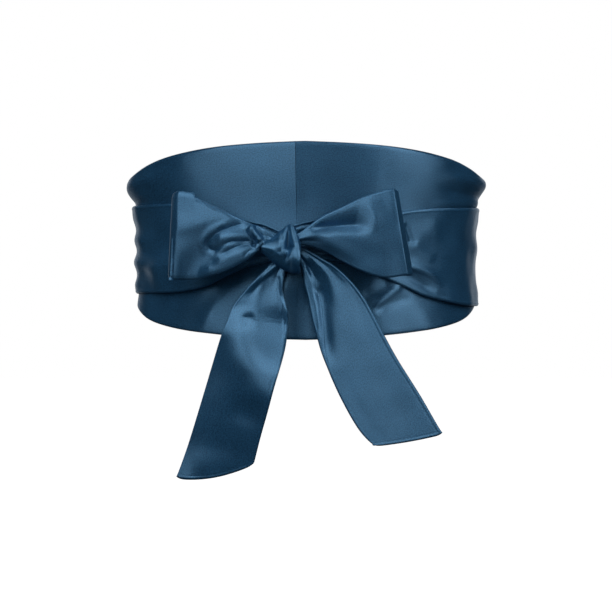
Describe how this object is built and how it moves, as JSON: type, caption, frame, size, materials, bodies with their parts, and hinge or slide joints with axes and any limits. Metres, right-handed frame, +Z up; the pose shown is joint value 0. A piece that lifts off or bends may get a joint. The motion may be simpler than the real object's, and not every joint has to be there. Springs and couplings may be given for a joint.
{
  "type": "satin sash",
  "caption": "Worn satin waist sash: a shaped front panel that tapers to the back, with wide ties that cross behind and tie in a bow in front.",
  "frame": {"origin": "the middle of the waist hollow, halfway up the front panel, where the wearer's waist holds the sash", "axes": "+Z up, the front with the bow faces -Y, +X to the right of the picture"},
  "size_m": [0.2513, 0.2191, 0.2257],
  "materials": {
    "satin": "satin weave, navy blue, soft sheen"
  },
  "bodies": {
    "root": {"panel_left": "satin", "panel_right": "satin", "back_outer": "satin", "back_inner": "satin", "wrap_left": "satin", "wrap_right": "satin", "loop_left": "satin", "loop_right": "satin", "tail_left": "satin", "tail_right": "satin", "knot": "satin"}
  },
  "joints": []
}
